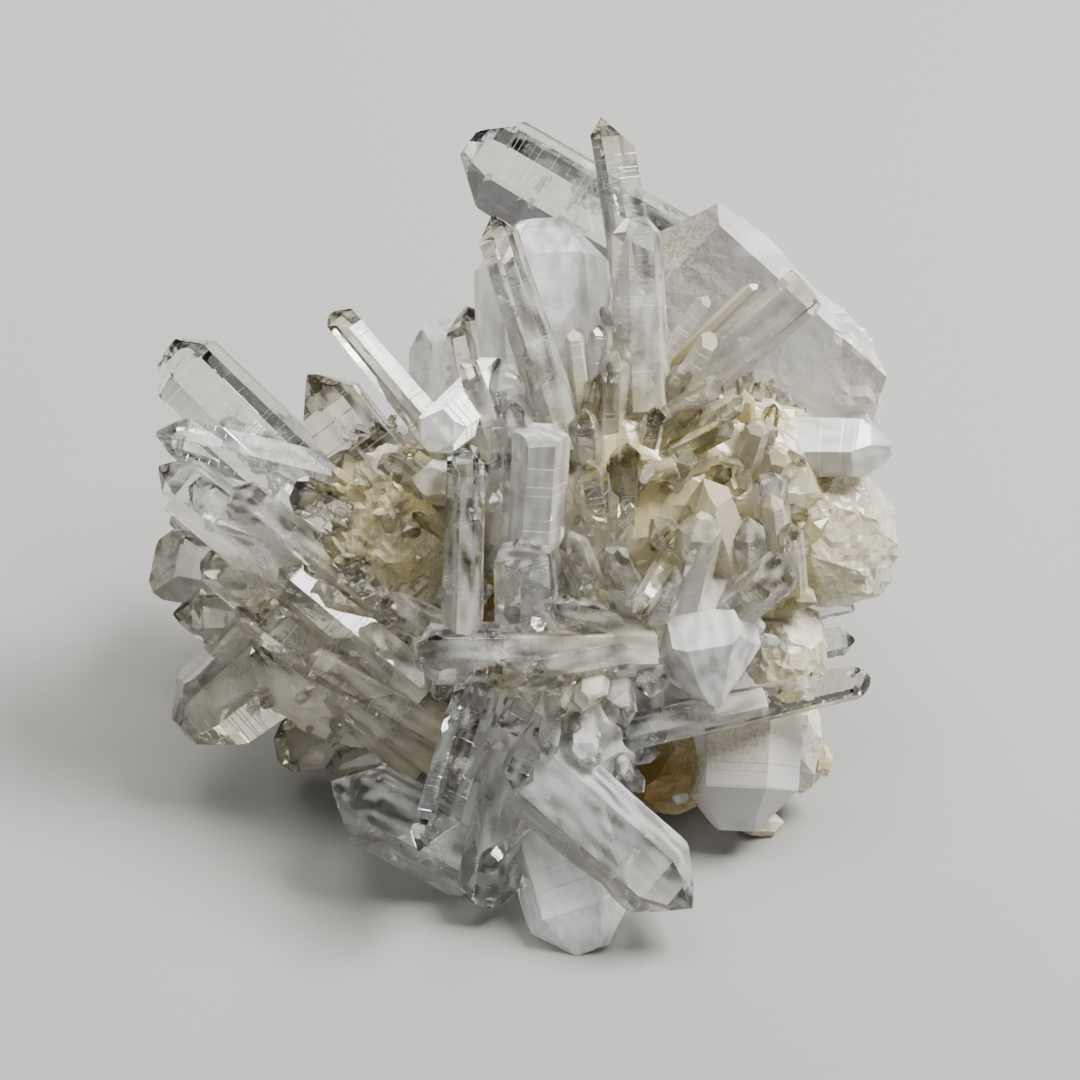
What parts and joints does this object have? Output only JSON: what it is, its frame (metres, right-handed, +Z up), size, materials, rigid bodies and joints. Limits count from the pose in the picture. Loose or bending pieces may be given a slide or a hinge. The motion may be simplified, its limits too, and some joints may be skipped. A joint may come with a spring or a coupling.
{
  "type": "lemurian quartz cluster",
  "caption": "Cluster of pointed lemurian quartz crystals fanning out from a milky base, with a thick slab behind and a flat underside it rests on.",
  "frame": {"origin": "middle of the bounding box at the level of the cut base", "axes": "+X to the right and -Y towards the viewer as in the picture, +Z up"},
  "size_m": [0.096, 0.0924, 0.0751],
  "materials": {
    "quartz": "clear tips turning milky and iron-stained towards the base"
  },
  "bodies": {
    "root": {"quartz_cluster": "quartz"}
  },
  "joints": []
}
